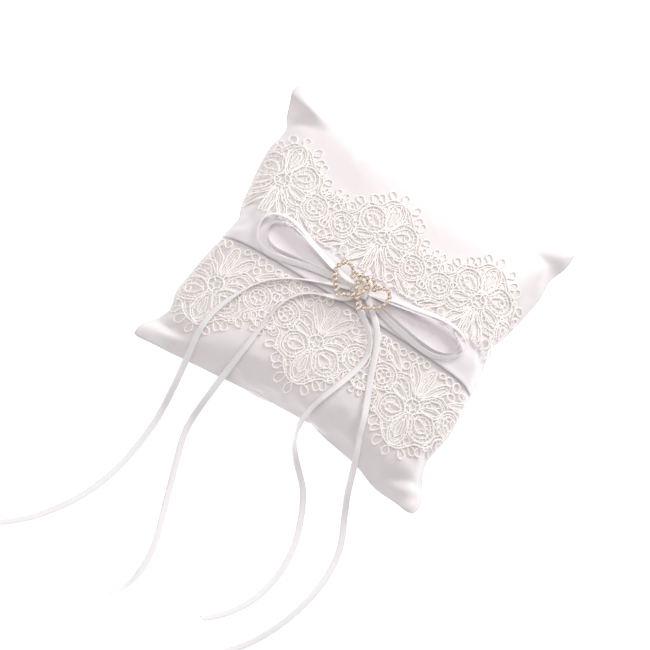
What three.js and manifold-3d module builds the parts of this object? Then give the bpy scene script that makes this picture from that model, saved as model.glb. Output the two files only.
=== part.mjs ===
// Ring bearer pillow: a square satin cushion with a satin band, two strips of scalloped lace,
// a ribbon bow with four long tails, and a double heart ornament set with stones.
// Millimetres, +Z up. +X runs along the band and +Y points away from the tails.
// The origin is the middle of the pillow's underside, on the surface it lies on.

import * as THREE from 'three';
import { mergeVertices } from 'three/addons/utils/BufferGeometryUtils.js';
import Module from 'manifold-3d';

// Pillow
const TIP_TO_TIP_X = 148;
const TIP_TO_TIP_Y = 142;
const SIDE_PULL_X = 10; // how far the middle of each side is drawn in from its corners
const SIDE_PULL_Y = 8;
const SEAM_HEIGHT = 19; // of the seam above the table
const CROWN = 18; // of the front panel above the seam
const BELLY = 21.5; // of the back panel below the seam, before the table flattens it
const PANEL_THICKNESS = 0.6;
const SIDE_CURVE = 2.4; // exponent of the sides' inward curve: larger keeps the pull nearer the corners
const GAP = 0.3; // clearance between pieces that touch
const FILLING_GAP = 0.6; // clearance round the filling

// Trim
const BAND_WIDTH = 20;
const BAND_THICKNESS = 0.4;
const BAND_CENTRE_Y = -1;
const LACE_THICKNESS = 1;
const FAR_LACE_INNER_Y = 0.5; // the far strip is tucked further under the band
const NEAR_LACE_INNER_Y = -8.5;
const FAR_LACE_MARGIN = 14.5; // from the scallop tips to the far side's middle
const NEAR_LACE_MARGIN = 6.5;
const SCALLOP_PITCH = 52;
const SCALLOP_DEPTH = 15;
const SCALLOP_OFFSET_X = -4.5; // of the middle scallop
const TRIM_END_MARGIN = 1.5; // from a strip's end to the side seam

// Bow
const RIBBON_WIDTH = 3;
const RIBBON_THICKNESS = 0.4;
const TAIL_THICKNESS = 0.8; // a tail's plain section is a flattened oval
const LAID = 1.4; // height of a tail's middle line where it lies on the table
const KNOT_SIZE = { x: 7.6, y: 8.2, z: 3.4 };
const KNOT_CENTRE_Y = -2;
const LOOP_CENTRE_Y = -0.7;
const OUTER_LOOP = { length: 50, spread: 18 };
const INNER_LOOP = { length: 41, spread: 10 };
const LOOP_ROOT_WIDTH = 3.2; // where the outer loop meets the knot
const INNER_ROOT_WIDTH = 1.4;

// Double heart ornament
const HEART_WIDTH = 16; // along the middle of the row of stones
const HEART_HEIGHT = 15.2;
const HEART_PITCH = 11.4; // between the two hearts' centres
const HEARTS_CENTRE = { x: -1.4, y: -4.6 };
const HEART_LEAN = THREE.MathUtils.degToRad(-8);
const STONES_PER_HEART = 22;
const STONE_DIAMETER = 1.7;
const STONE_HEIGHT = 1.1;
const CUP_WALL = 0.3;
const CUP_FLOOR = 0.5;
const CUP_HEIGHT = 1.1;
const LINK_WIDTH = 1;
const LINK_HEIGHT = 0.6;
const CROWDED = 0.85; // share of a stone's pitch below which the second heart leaves a stone out

const TIP_X = TIP_TO_TIP_X / 2;
const TIP_Y = TIP_TO_TIP_Y / 2;
const MIDDLE_X = TIP_X - SIDE_PULL_X; // from the origin to the middle of a side seam
const MIDDLE_Y = TIP_Y - SIDE_PULL_Y;
const CUP_SIDES = 8;
const STONE_SIDES = 6;
const CELLS = 16; // facets across a panel
const STRIP_CELLS = 28; // facets along a trim strip

const LEFT = -1;
const RIGHT = 1;

const wasm = await Module();
wasm.setup();

const satin = new THREE.MeshStandardMaterial({ color: 0xf4f0f2, roughness: 0.38, metalness: 0 });
const fibre = new THREE.MeshStandardMaterial({ color: 0xf6f6f4, roughness: 0.95, metalness: 0 });
const lace = new THREE.MeshStandardMaterial({ color: 0xf3ece4, roughness: 0.75, metalness: 0 });
const ribbon = new THREE.MeshStandardMaterial({ color: 0xf7f4f5, roughness: 0.3, metalness: 0 });
const alloy = new THREE.MeshStandardMaterial({ color: 0xc9a38b, roughness: 0.3, metalness: 1 });
const crystal = new THREE.MeshStandardMaterial({ color: 0xf2f4f8, roughness: 0.03, metalness: 0 });

const group = new THREE.Group();

function addPiece(name, geometry, material) {
  const mesh = new THREE.Mesh(geometry, material);
  mesh.name = name;
  group.add(mesh);
  return mesh;
}

// ---- The pillow's surface -------------------------------------------------------------------

// A point of the pillow's skin drawn in by inset, where s and t run from -1 to 1 across the
// cloth, left to right and near to far. side is 1 for the front panel and -1 for the back.
function skinPoint(s, t, side, inset) {
  const middleX = TIP_X - SIDE_PULL_X - inset;
  const middleY = TIP_Y - SIDE_PULL_Y - inset;
  const x = s * (middleX + SIDE_PULL_X * Math.abs(t) ** SIDE_CURVE * s * s);
  const y = t * (middleY + SIDE_PULL_Y * Math.abs(s) ** SIDE_CURVE * t * t);
  const puff = Math.sqrt(Math.max(0, (1 - s * s) * (1 - t * t)));
  if (side > 0) {
    return new THREE.Vector3(x, y, SEAM_HEIGHT + (CROWN - inset) * puff);
  }
  return new THREE.Vector3(x, y, Math.max(inset, SEAM_HEIGHT - (BELLY - inset) * puff));
}

// A point at a height above the front panel, measured square to the cloth.
function abovePanel(s, t, lift) {
  const step = 0.002;
  const point = skinPoint(s, t, 1, 0);
  const alongS = skinPoint(s + step, t, 1, 0).sub(skinPoint(s - step, t, 1, 0));
  const alongT = skinPoint(s, t + step, 1, 0).sub(skinPoint(s, t - step, 1, 0));
  const normal = alongS.cross(alongT).normalize();
  return point.addScaledVector(normal, lift);
}

// The cloth coordinates of the front panel's point above x and y.
function clothCoordinates(x, y) {
  let s = x / MIDDLE_X;
  let t = y / MIDDLE_Y;
  for (let pass = 0; pass < 8; pass++) {
    s = x / (MIDDLE_X + SIDE_PULL_X * Math.abs(t) ** SIDE_CURVE * s * s);
    t = y / (MIDDLE_Y + SIDE_PULL_Y * Math.abs(s) ** SIDE_CURVE * t * t);
  }
  return { s, t };
}

function panelHeight(x, y) {
  const { s, t } = clothCoordinates(x, y);
  return skinPoint(s, t, 1, 0).z;
}

// Spreads evenly spaced values from -1 to 1 so that they crowd towards both ends.
function crowdEnds(value) {
  return Math.sin((value * Math.PI) / 2);
}

// Moves each vertex of a geometry to place(x, y, z), and keeps only the merged positions.
function reshape(geometry, place) {
  const position = geometry.attributes.position;
  for (let i = 0; i < position.count; i++) {
    const moved = place(position.getX(i), position.getY(i), position.getZ(i));
    position.setXYZ(i, moved.x, moved.y, moved.z);
  }
  geometry.deleteAttribute('normal');
  geometry.deleteAttribute('uv');
  const merged = mergeVertices(geometry, 1e-4);
  merged.computeVertexNormals();
  return merged;
}

// One cloth panel: a thin shell whose open rim lies on the seam.
function panel(side) {
  const sheet = new THREE.BoxGeometry(2, 2, 1, CELLS, CELLS, 1);
  return reshape(sheet, (x, y, z) => {
    const outside = z * side > 0;
    const point = skinPoint(crowdEnds(x), crowdEnds(y), side, outside ? 0 : PANEL_THICKNESS);
    point.z += (side * GAP) / 2;
    if (side < 0) {
      point.z = Math.max(point.z, outside ? 0 : PANEL_THICKNESS);
    }
    return point;
  });
}

function filling() {
  const inset = PANEL_THICKNESS + FILLING_GAP;
  const block = new THREE.BoxGeometry(2, 2, 1, CELLS, CELLS, 2);
  return reshape(block, (x, y, z) => {
    const s = crowdEnds(x);
    const t = crowdEnds(y);
    if (z === 0) {
      return skinPoint(s, t, 1, inset).setZ(SEAM_HEIGHT);
    }
    return skinPoint(s, t, z > 0 ? 1 : -1, inset);
  });
}

// ---- Band and lace --------------------------------------------------------------------------

// A strip laid on the front panel from side seam to side seam. edges(x) gives its two long
// edges as y values at a place along it.
function laidStrip(edges, lift, thickness, cellsAcross) {
  const reach = 1 - TRIM_END_MARGIN / MIDDLE_X;
  const strip = new THREE.BoxGeometry(2, 1, 1, STRIP_CELLS, cellsAcross, 1);
  return reshape(strip, (x, y, z) => {
    const s = Math.min(reach, Math.max(-reach, crowdEnds(x)));
    const [low, high] = edges(s * MIDDLE_X);
    const lowAngle = Math.asin(low / MIDDLE_Y);
    const highAngle = Math.asin(high / MIDDLE_Y);
    const t = Math.sin(THREE.MathUtils.lerp(lowAngle, highAngle, y + 0.5));
    return abovePanel(s, t, lift + (z + 0.5) * thickness);
  });
}

function bandEdges() {
  return [BAND_CENTRE_Y - BAND_WIDTH / 2, BAND_CENTRE_Y + BAND_WIDTH / 2];
}

// How far the scalloped edge stands back from its tips at a place along the strip.
function scallopDip(x) {
  const phase = ((x - SCALLOP_OFFSET_X) / SCALLOP_PITCH) * 2 * Math.PI;
  return (SCALLOP_DEPTH * (1 - Math.cos(phase))) / 2;
}

function farLaceEdges(x) {
  return [FAR_LACE_INNER_Y, MIDDLE_Y - FAR_LACE_MARGIN - scallopDip(x)];
}

function nearLaceEdges(x) {
  return [NEAR_LACE_MARGIN - MIDDLE_Y + scallopDip(x), NEAR_LACE_INNER_Y];
}

const LACE_LIFT = GAP / 2 + GAP; // the front panel itself is raised by half a gap at the seam
const BAND_LIFT = LACE_LIFT + LACE_THICKNESS + GAP;
const BOW_LIFT = BAND_LIFT + BAND_THICKNESS + GAP;
const LACE_CELLS_ACROSS = 6;
const BAND_CELLS_ACROSS = 2;

// ---- Bow ------------------------------------------------------------------------------------

// Half the spread of a teardrop loop at a share of its length from the knot.
function teardropHalf(share, rootWidth, spread) {
  const belly = Math.sin(Math.PI * share ** 1.5) ** 0.75;
  return (rootWidth / 2) * (1 - share) + (spread / 2) * belly;
}

function teardrop(start, length, rootWidth, spread) {
  const steps = 14;
  const upper = [];
  const lower = [];
  for (let i = 0; i <= steps; i++) {
    const share = Math.sin(((i / steps) * Math.PI) / 2);
    const half = teardropHalf(share, rootWidth, spread);
    upper.push(new THREE.Vector2(start + length * share, half));
    lower.unshift(new THREE.Vector2(start + length * share, -half));
  }
  lower.shift();
  return [...upper, ...lower];
}

// A ribbon loop that stands on its edge over the band: a teardrop ring, extruded by the
// ribbon's width and bent down along the pillow's crown.
function bowLoop(hand, { length, spread }, rootWidth, start) {
  const outline = new THREE.Shape(teardrop(start, length, rootWidth, spread));
  const inner = teardrop(
    start + RIBBON_THICKNESS,
    length - 2 * RIBBON_THICKNESS,
    rootWidth - 2 * RIBBON_THICKNESS,
    spread - 2 * RIBBON_THICKNESS,
  );
  outline.holes.push(new THREE.Path(inner.reverse()));
  const ring = new THREE.ExtrudeGeometry(outline, { depth: RIBBON_WIDTH, bevelEnabled: false });
  if (hand === LEFT) {
    ring.rotateZ(Math.PI);
  }
  return reshape(ring, (x, y, z) => {
    const lift = z === 0 ? 0 : RIBBON_WIDTH;
    const base = panelHeight(x, y + LOOP_CENTRE_Y) + BOW_LIFT;
    return new THREE.Vector3(x, y + LOOP_CENTRE_Y, base + lift + flankClearance(x));
  });
}

// Extra height that keeps an upright loop off the band where the crown falls away.
function flankClearance(x) {
  return (BOW_LIFT * (x / MIDDLE_X) ** 2) / 2;
}

function knot() {
  const block = new THREE.BoxGeometry(KNOT_SIZE.x, KNOT_SIZE.y, KNOT_SIZE.z, 4, 4, 2);
  const topZ = panelHeight(0, KNOT_CENTRE_Y) + BOW_LIFT + KNOT_SIZE.z;
  return reshape(block, (x, y, z) => {
    const share = z / KNOT_SIZE.z + 0.5;
    const bottomZ = panelHeight(x, y + KNOT_CENTRE_Y) + BOW_LIFT;
    const waist = 1 - 0.08 * Math.abs(2 * share - 1);
    const height = bottomZ + (topZ - bottomZ) * share;
    return new THREE.Vector3(x * waist, y * waist + KNOT_CENTRE_Y, height);
  });
}

// ---- Ribbon tails ---------------------------------------------------------------------------

// Each route runs from the knot over the pillow, over its near edge and along the table.
const TAIL_ROUTES = [
  [
    [-4.3, -4.2, 39.8], [-9, -5.8, 39.6], [-15, -8, 39.2], [-22, -11, 38.4], [-29, -14.5, 37.1],
    [-35, -18.5, 35.9], [-40.5, -24, 34.4], [-45, -31, 32.8], [-48.5, -38.5, 31.2], [-51, -46, 29.7],
    [-52, -53, 28.3], [-51.5, -60, 26.6], [-50.4, -66, 23.6], [-49.5, -71, 18.5], [-48.7, -75.5, 12],
    [-48, -80.5, 6], [-47.4, -86, 2.2], [-47, -93, LAID], [-47.2, -101, LAID], [-48, -110, LAID],
    [-49.2, -119, LAID], [-51.5, -128.5, LAID], [-54.5, -137, LAID], [-58.6, -146, LAID],
    [-63.8, -154.5, LAID], [-70, -163, LAID], [-77.2, -170.3, LAID], [-83.5, -175.5, LAID],
    [-88, -178.7, LAID],
  ],
  [
    [-2.2, -6.5, 39.8], [-2.6, -8.3, 39.7], [-5.5, -10.6, 39.5], [-11, -12.6, 39.1], [-17.5, -15.2, 38.2],
    [-22.5, -19, 37.5], [-26, -24, 36.6], [-28, -30, 35.7], [-29, -37, 34.5], [-29.8, -45, 32.8],
    [-30.5, -53, 30.4], [-31.2, -60, 27.3], [-31.8, -64.5, 23.6], [-32.3, -68.5, 18], [-32.8, -72.5, 11.5],
    [-33.3, -77, 6], [-33.6, -82.5, 2.2], [-33.4, -89, LAID], [-32.2, -95.5, LAID], [-30.3, -102, LAID],
    [-27.8, -110, LAID], [-25, -119, LAID], [-22, -128.5, LAID], [-19, -138, LAID], [-17, -147, LAID],
    [-16.3, -156, LAID], [-17.5, -164.5, LAID], [-20, -170.5, LAID], [-23, -174.5, LAID],
  ],
  [
    [1.5, -6.5, 39.8], [2, -8.4, 39.6], [5, -11.2, 39.4], [9.5, -14.2, 38.8], [13.8, -18, 38.2],
    [17, -23, 37.6], [18, -28.5, 36.8], [17.2, -34.5, 36], [15.3, -41.5, 34.6], [12.7, -49, 32.7],
    [10.2, -56, 29.9], [8.9, -61.5, 26.4], [8.8, -65.5, 21.5], [9.9, -69, 15.5], [12.2, -72, 9.5],
    [15.6, -75, 4.8], [20, -78.6, 1.9], [25.3, -84, LAID], [29.5, -91, LAID], [32.8, -98.5, LAID],
    [35.3, -106, LAID], [36.7, -114, LAID], [37.2, -121.5, LAID], [36.6, -129, LAID], [35, -136.2, LAID],
    [32.4, -143.2, LAID], [29, -149.4, LAID], [25.5, -154.2, LAID], [21.8, -158.3, LAID], [18, -161.5, LAID],
  ],
  [
    [4.3, -4.2, 39.8], [6, -5.2, 39.7], [9.5, -8.5, 39.4], [14, -12.4, 39], [18, -17.5, 38],
    [20.8, -24, 37.2], [23.3, -31, 36.1], [25.8, -37, 34.8], [28.5, -43, 33.4], [31, -49, 31.6],
    [33.5, -55.5, 29.4], [36.3, -61.5, 26.5], [38.6, -66.3, 22.8], [40.6, -70.3, 17.5], [42.5, -74, 11.5],
    [44.5, -77.8, 6.2], [46.8, -82, 2.6], [49.2, -87, LAID], [51.8, -92.5, LAID], [54.2, -99, LAID],
    [55.6, -106, LAID], [56, -114, LAID], [55.3, -122.5, LAID], [53.7, -131, LAID], [51.5, -139, LAID],
    [48.4, -147.3, LAID], [44.4, -155.5, LAID], [39.5, -163.2, LAID], [33.6, -170.8, LAID],
    [28.5, -176.3, LAID],
  ],
];
const TAIL_STEPS = 40;
const TAIL_SIDES = 8;

function tail(route) {
  const points = route.map(([x, y, z]) => new THREE.Vector3(x, y, z));
  const path = new THREE.CatmullRomCurve3(points, false, 'centripetal');
  const section = new THREE.Shape();
  for (let i = 0; i < TAIL_SIDES; i++) {
    const angle = ((i + 0.5) / TAIL_SIDES) * 2 * Math.PI;
    const corner = Math.cos(Math.PI / TAIL_SIDES);
    const thick = ((TAIL_THICKNESS / 2) * Math.cos(angle)) / corner;
    const wide = ((RIBBON_WIDTH / 2) * Math.sin(angle)) / corner;
    if (i === 0) {
      section.moveTo(thick, wide);
    } else {
      section.lineTo(thick, wide);
    }
  }
  return new THREE.ExtrudeGeometry(section, { steps: TAIL_STEPS, extrudePath: path });
}

// ---- Double heart ornament ------------------------------------------------------------------

// The middle line of a heart's row of stones, from its point at the bottom and back to it.
function heartCurve() {
  const w = HEART_WIDTH / 2;
  const h = HEART_HEIGHT / 2;
  const half = (hand) => {
    const flank = new THREE.CubicBezierCurve(
      new THREE.Vector2(0, -h),
      new THREE.Vector2(hand * w * 0.35, -h * 0.55),
      new THREE.Vector2(hand * w, -h * 0.3),
      new THREE.Vector2(hand * w, h * 0.38),
    );
    const lobe = new THREE.CubicBezierCurve(
      new THREE.Vector2(hand * w, h * 0.38),
      new THREE.Vector2(hand * w, h * 1.2),
      new THREE.Vector2(hand * w * 0.3, h * 1.2),
      new THREE.Vector2(0, h * 0.52),
    );
    return [flank, lobe];
  };
  const [leftFlank, leftLobe] = half(LEFT);
  const [rightFlank, rightLobe] = half(RIGHT);
  const back = (curve) => new THREE.CubicBezierCurve(curve.v3, curve.v2, curve.v1, curve.v0);
  const path = new THREE.CurvePath();
  [leftFlank, leftLobe, back(rightLobe), back(rightFlank)].forEach((part) => path.add(part));
  return path;
}

// Where the stones of one heart sit, in the ornament's own plane.
function stonePlaces(hand) {
  const places = heartCurve().getSpacedPoints(STONES_PER_HEART).slice(0, STONES_PER_HEART);
  const centre = new THREE.Vector2();
  return places.map((place) => {
    const turned = place.clone().rotateAround(centre, HEART_LEAN);
    return turned.add(new THREE.Vector2((hand * HEART_PITCH) / 2, 0));
  });
}

// A revolved profile, turned so that its axis is +Z.
function turned(profile, sides) {
  const points = profile.map(([r, z]) => new THREE.Vector2(r, z));
  return new THREE.LatheGeometry(points, sides).rotateX(Math.PI / 2);
}

const POCKET_RADIUS = STONE_DIAMETER / 2 + GAP / 2;

function cup() {
  const outside = POCKET_RADIUS + CUP_WALL;
  return turned([[0, 0], [outside, 0], [outside, CUP_HEIGHT], [0, CUP_HEIGHT]], CUP_SIDES);
}

function pocket() {
  const top = 2 * CUP_HEIGHT;
  return turned([[0, CUP_FLOOR], [POCKET_RADIUS, CUP_FLOOR], [POCKET_RADIUS, top], [0, top]], CUP_SIDES);
}

function stone() {
  const r = STONE_DIAMETER / 2;
  const table = r * 0.55;
  const base = r * 0.6;
  const girdle = STONE_HEIGHT * 0.55;
  return turned([[0, 0], [base, 0], [r, girdle], [table, STONE_HEIGHT], [0, STONE_HEIGHT]], STONE_SIDES);
}

function toSolid(geometry) {
  const bare = geometry.clone();
  bare.deleteAttribute('normal');
  bare.deleteAttribute('uv');
  const merged = mergeVertices(bare, 1e-4);
  const vertProperties = new Float32Array(merged.attributes.position.array);
  const triVerts = new Uint32Array(merged.index.array);
  return new wasm.Manifold(new wasm.Mesh({ numProp: 3, vertProperties, triVerts }));
}

function fromSolid(solid) {
  const { vertProperties, triVerts } = solid.getMesh();
  const geometry = new THREE.BufferGeometry();
  geometry.setAttribute('position', new THREE.BufferAttribute(new Float32Array(vertProperties), 3));
  geometry.setIndex(new THREE.BufferAttribute(new Uint32Array(triVerts), 1));
  geometry.computeVertexNormals();
  return geometry;
}

// The casting: a cup at each stone, a link under each pair of neighbours, and a pocket cut for
// each stone.
function heartFrame(chains, places) {
  const oneCup = cup();
  const onePocket = pocket();
  let solid = null;
  const join = (geometry) => {
    const piece = toSolid(geometry);
    solid = solid === null ? piece : solid.add(piece);
  };
  places.forEach((place) => join(oneCup.clone().translate(place.x, place.y, 0)));
  chains.forEach((chain) => {
    chain.forEach((from, i) => {
      const to = chain[(i + 1) % chain.length];
      const run = to.clone().sub(from);
      const link = new THREE.BoxGeometry(run.length() * 0.9, LINK_WIDTH, LINK_HEIGHT);
      link.rotateZ(run.angle());
      join(link.translate((from.x + to.x) / 2, (from.y + to.y) / 2, LINK_HEIGHT / 2 - 0.05));
    });
  });
  places.forEach((place) => {
    solid = solid.subtract(toSolid(onePocket.clone().translate(place.x, place.y, 0)));
  });
  return fromSolid(solid);
}

// ---- The assembly ---------------------------------------------------------------------------

addPiece('back_panel', panel(-1), satin);
addPiece('filling', filling(), fibre);
addPiece('front_panel', panel(1), satin);
addPiece('lace_far', laidStrip(farLaceEdges, LACE_LIFT, LACE_THICKNESS, LACE_CELLS_ACROSS), lace);
addPiece('lace_near', laidStrip(nearLaceEdges, LACE_LIFT, LACE_THICKNESS, LACE_CELLS_ACROSS), lace);
addPiece('satin_band', laidStrip(bandEdges, BAND_LIFT, BAND_THICKNESS, BAND_CELLS_ACROSS), satin);

const outerStart = KNOT_SIZE.x / 2 + GAP;
const innerStart = outerStart + RIBBON_THICKNESS + GAP;
for (const [hand, word] of [[LEFT, 'left'], [RIGHT, 'right']]) {
  addPiece(`bow_loop_${word}_outer`, bowLoop(hand, OUTER_LOOP, LOOP_ROOT_WIDTH, outerStart), ribbon);
  addPiece(`bow_loop_${word}_inner`, bowLoop(hand, INNER_LOOP, INNER_ROOT_WIDTH, innerStart), ribbon);
}
addPiece('bow_knot', knot(), ribbon);
TAIL_ROUTES.forEach((route, i) => addPiece(`ribbon_tail_${i + 1}`, tail(route), ribbon));

const ornament = new THREE.Group();
const ornamentBase = panelHeight(0, KNOT_CENTRE_Y) + BOW_LIFT + KNOT_SIZE.z + GAP;
ornament.position.set(HEARTS_CENTRE.x, HEARTS_CENTRE.y, ornamentBase);
group.add(ornament);

const leftPlaces = stonePlaces(LEFT);
const rightPlaces = stonePlaces(RIGHT);
const stonePitch = leftPlaces[1].distanceTo(leftPlaces[2]);
const isClear = (place) => leftPlaces.every((other) => other.distanceTo(place) > CROWDED * stonePitch);
const keptRight = rightPlaces.filter(isClear);

const frameMesh = new THREE.Mesh(
  heartFrame([leftPlaces, rightPlaces], [...leftPlaces, ...keptRight]),
  alloy,
);
frameMesh.name = 'double_heart_frame';
ornament.add(frameMesh);

[['left', leftPlaces], ['right', keptRight]].forEach(([word, places]) => {
  places.forEach((place, i) => {
    const mesh = new THREE.Mesh(stone(), crystal);
    mesh.name = `stone_${word}_${String(i + 1).padStart(2, '0')}`;
    mesh.position.set(place.x, place.y, CUP_FLOOR + GAP);
    ornament.add(mesh);
  });
});

export default group;
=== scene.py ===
"""Ring bearer pillow: a stuffed satin pillow with lace, a satin band, a bow and a double heart of stones."""

import math
import random

import bmesh
import bpy
from mathutils import Matrix, Vector
from mathutils.bvhtree import BVHTree


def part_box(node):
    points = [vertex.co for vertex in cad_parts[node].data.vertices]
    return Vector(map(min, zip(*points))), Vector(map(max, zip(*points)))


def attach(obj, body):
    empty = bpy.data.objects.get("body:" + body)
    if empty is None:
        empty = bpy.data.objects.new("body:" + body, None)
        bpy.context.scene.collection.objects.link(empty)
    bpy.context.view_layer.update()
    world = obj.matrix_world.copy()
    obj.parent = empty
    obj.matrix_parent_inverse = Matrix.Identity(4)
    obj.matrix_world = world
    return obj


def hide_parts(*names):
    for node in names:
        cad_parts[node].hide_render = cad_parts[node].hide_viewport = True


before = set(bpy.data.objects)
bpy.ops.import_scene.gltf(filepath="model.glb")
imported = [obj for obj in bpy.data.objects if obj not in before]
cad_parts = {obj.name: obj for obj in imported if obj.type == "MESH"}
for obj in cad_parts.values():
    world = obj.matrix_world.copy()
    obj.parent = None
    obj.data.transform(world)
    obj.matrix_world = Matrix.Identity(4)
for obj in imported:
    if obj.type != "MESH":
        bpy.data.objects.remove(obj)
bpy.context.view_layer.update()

MM = 0.001
SEAM_HEIGHT = 19 * MM


# ---------------------------------------------------------------- camera

ELEVATION = math.radians(71)
ROLL = math.radians(32.3)
LENS = 400
SENSOR = 36
FIELD = 295.1 * MM
SHIFT_RIGHT = -13.96 * MM
SHIFT_UP = -11.92 * MM


def set_camera():
    level_up = Vector((0, math.sin(ELEVATION), math.cos(ELEVATION)))
    across = Vector((1, 0, 0))
    right = across * math.cos(ROLL) + level_up * math.sin(ROLL)
    up = level_up * math.cos(ROLL) - across * math.sin(ROLL)
    back = right.cross(up)
    aim = Vector((0, 0, SEAM_HEIGHT)) + right * SHIFT_RIGHT + up * SHIFT_UP
    data = bpy.data.cameras.new("pillow_camera")
    data.lens = LENS
    data.sensor_width = SENSOR
    data.clip_end = 20
    camera = bpy.data.objects.new("pillow_camera", data)
    bpy.context.scene.collection.objects.link(camera)
    turn = Matrix((right, up, back)).transposed().to_4x4()
    camera.matrix_world = Matrix.Translation(aim + back * FIELD * LENS / SENSOR) @ turn
    bpy.context.scene.camera = camera


set_camera()


# ---------------------------------------------------------------- small helpers

def add_object(name, data):
    piece = bpy.data.objects.new(name, data)
    bpy.context.scene.collection.objects.link(piece)
    return piece


def mesh_from(name, bm, smooth=True):
    mesh = bpy.data.meshes.new(name)
    bm.to_mesh(mesh)
    bm.free()
    for face in mesh.polygons:
        face.use_smooth = smooth
    return mesh


def settle(name, source):
    """A plain mesh object of what the source looks like with its modifiers or curve settings applied."""
    graph = bpy.context.evaluated_depsgraph_get()
    mesh = bpy.data.meshes.new_from_object(source.evaluated_get(graph))
    old = source.data
    bpy.data.objects.remove(source)
    if isinstance(old, bpy.types.Curve):
        bpy.data.curves.remove(old)
    for face in mesh.polygons:
        face.use_smooth = True
    mesh.name = name
    return add_object(name, mesh)


def finish_piece(piece, slot, material, *nodes):
    piece.data.materials.clear()
    piece.data.materials.append(material)
    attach(piece, "root")
    if nodes:
        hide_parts(*nodes)


def smooth_route(points, step):
    """Points a step apart on a smooth line through the given ones, which may carry extra numbers."""
    ends = [points[0], *points, points[-1]]
    line = []
    for a, b, c, d in zip(ends, ends[1:], ends[2:], ends[3:]):
        span = math.dist(b[:3], c[:3])
        count = max(1, round(span / step))
        for i in range(count):
            t = i / count
            line.append(tuple(
                0.5 * (2 * q + (r - p) * t + (2 * p - 5 * q + 4 * r - s) * t * t
                       + (3 * q - p - 3 * r + s) * t ** 3)
                for p, q, r, s in zip(a, b, c, d)
            ))
    line.append(tuple(points[-1]))
    return line


def route_length(points):
    return sum(math.dist(a[:3], b[:3]) for a, b in zip(points, points[1:]))


def between(keys, share):
    """The value at a share of the way along, from a few (share, value) pairs."""
    for (a, first), (b, second) in zip(keys, keys[1:]):
        if share <= b:
            t = (share - a) / (b - a)
            t = t * t * (3 - 2 * t)
            return first + (second - first) * t
    return keys[-1][1]


# ---------------------------------------------------------------- finishes

def new_group(name, inputs, outputs):
    group = bpy.data.node_groups.new(name, "ShaderNodeTree")
    for label, kind, value in inputs:
        socket = group.interface.new_socket(label, in_out="INPUT", socket_type=kind)
        if value is not None:
            socket.default_value = value
    for label, kind in outputs:
        group.interface.new_socket(label, in_out="OUTPUT", socket_type=kind)
    return group, group.nodes.new("NodeGroupInput"), group.nodes.new("NodeGroupOutput")


def node(tree, kind, **settings):
    made = tree.nodes.new(kind)
    for key, value in settings.items():
        if hasattr(made, key):
            setattr(made, key, value)
        else:
            made.inputs[key.replace("_", " ").title()].default_value = value
    return made


def math_node(tree, operation, first, second):
    made = tree.nodes.new("ShaderNodeMath")
    made.operation = operation
    for socket, value in zip(made.inputs, (first, second)):
        if isinstance(value, (int, float)):
            socket.default_value = value
        else:
            tree.links.new(value, socket)
    return made.outputs[0]


def wire(tree, *joins):
    """Links each (node, output, node, input)."""
    for source, output, target, socket in joins:
        tree.links.new(source.outputs[output], target.inputs[socket])


def fill(owner, values):
    """Sets a node's inputs by name."""
    for key, value in values.items():
        owner.inputs[key].default_value = value


def new_material(name):
    material = bpy.data.materials.new(name)
    material.use_nodes = True
    return material, material.node_tree, material.node_tree.nodes["Principled BSDF"]


def make_weave_group():
    """Woven cloth: fine crossing threads, slubs, soft patches of shade."""
    group, given, result = new_group(
        "woven_threads",
        [
            ("Vector", "NodeSocketVector", None),
            ("Thread Scale", "NodeSocketFloat", 800.0),
            ("Light Tint", "NodeSocketColor", (0.9, 0.88, 0.88, 1)),
            ("Dark Tint", "NodeSocketColor", (0.8, 0.77, 0.78, 1)),
            ("Smooth", "NodeSocketFloat", 0.3),
            ("Rough", "NodeSocketFloat", 0.45),
        ],
        [("Color", "NodeSocketColor"), ("Roughness", "NodeSocketFloat"), ("Height", "NodeSocketFloat")],
    )
    warp = node(group, "ShaderNodeTexWave", bands_direction="X", distortion=0.6, detail=1.0)
    weft = node(group, "ShaderNodeTexWave", bands_direction="Y", distortion=0.6, detail=1.0)
    patches = node(group, "ShaderNodeTexNoise", scale=38.0, detail=3.0)
    slubs = node(group, "ShaderNodeTexNoise", scale=420.0, detail=2.0)
    for texture in (warp, weft, patches, slubs):
        wire(group, (given, "Vector", texture, "Vector"))
    wire(group, (given, "Thread Scale", warp, "Scale"), (given, "Thread Scale", weft, "Scale"))
    threads = math_node(group, "MULTIPLY", warp.outputs["Fac"], weft.outputs["Fac"])
    slub_part = math_node(group, "MULTIPLY", slubs.outputs["Fac"], 0.6)
    height = math_node(group, "ADD", threads, slub_part)
    shade = math_node(group, "MULTIPLY", patches.outputs["Fac"], 0.75)
    shade = math_node(group, "ADD", shade, math_node(group, "MULTIPLY", threads, 0.3))
    mix = node(group, "ShaderNodeMix", data_type="RGBA")
    gloss = node(group, "ShaderNodeMapRange")
    group.links.new(shade, mix.inputs["Factor"])
    group.links.new(height, result.inputs["Height"])
    # the colour sockets of a Mix node come after its number and vector sockets
    wire(
        group, (given, "Dark Tint", mix, 6), (given, "Light Tint", mix, 7), (mix, 2, result, "Color"),
        (patches, "Fac", gloss, "Value"), (given, "Smooth", gloss, "To Min"),
        (given, "Rough", gloss, "To Max"), (gloss, "Result", result, "Roughness"))
    return group


weave_group = make_weave_group()


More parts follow.
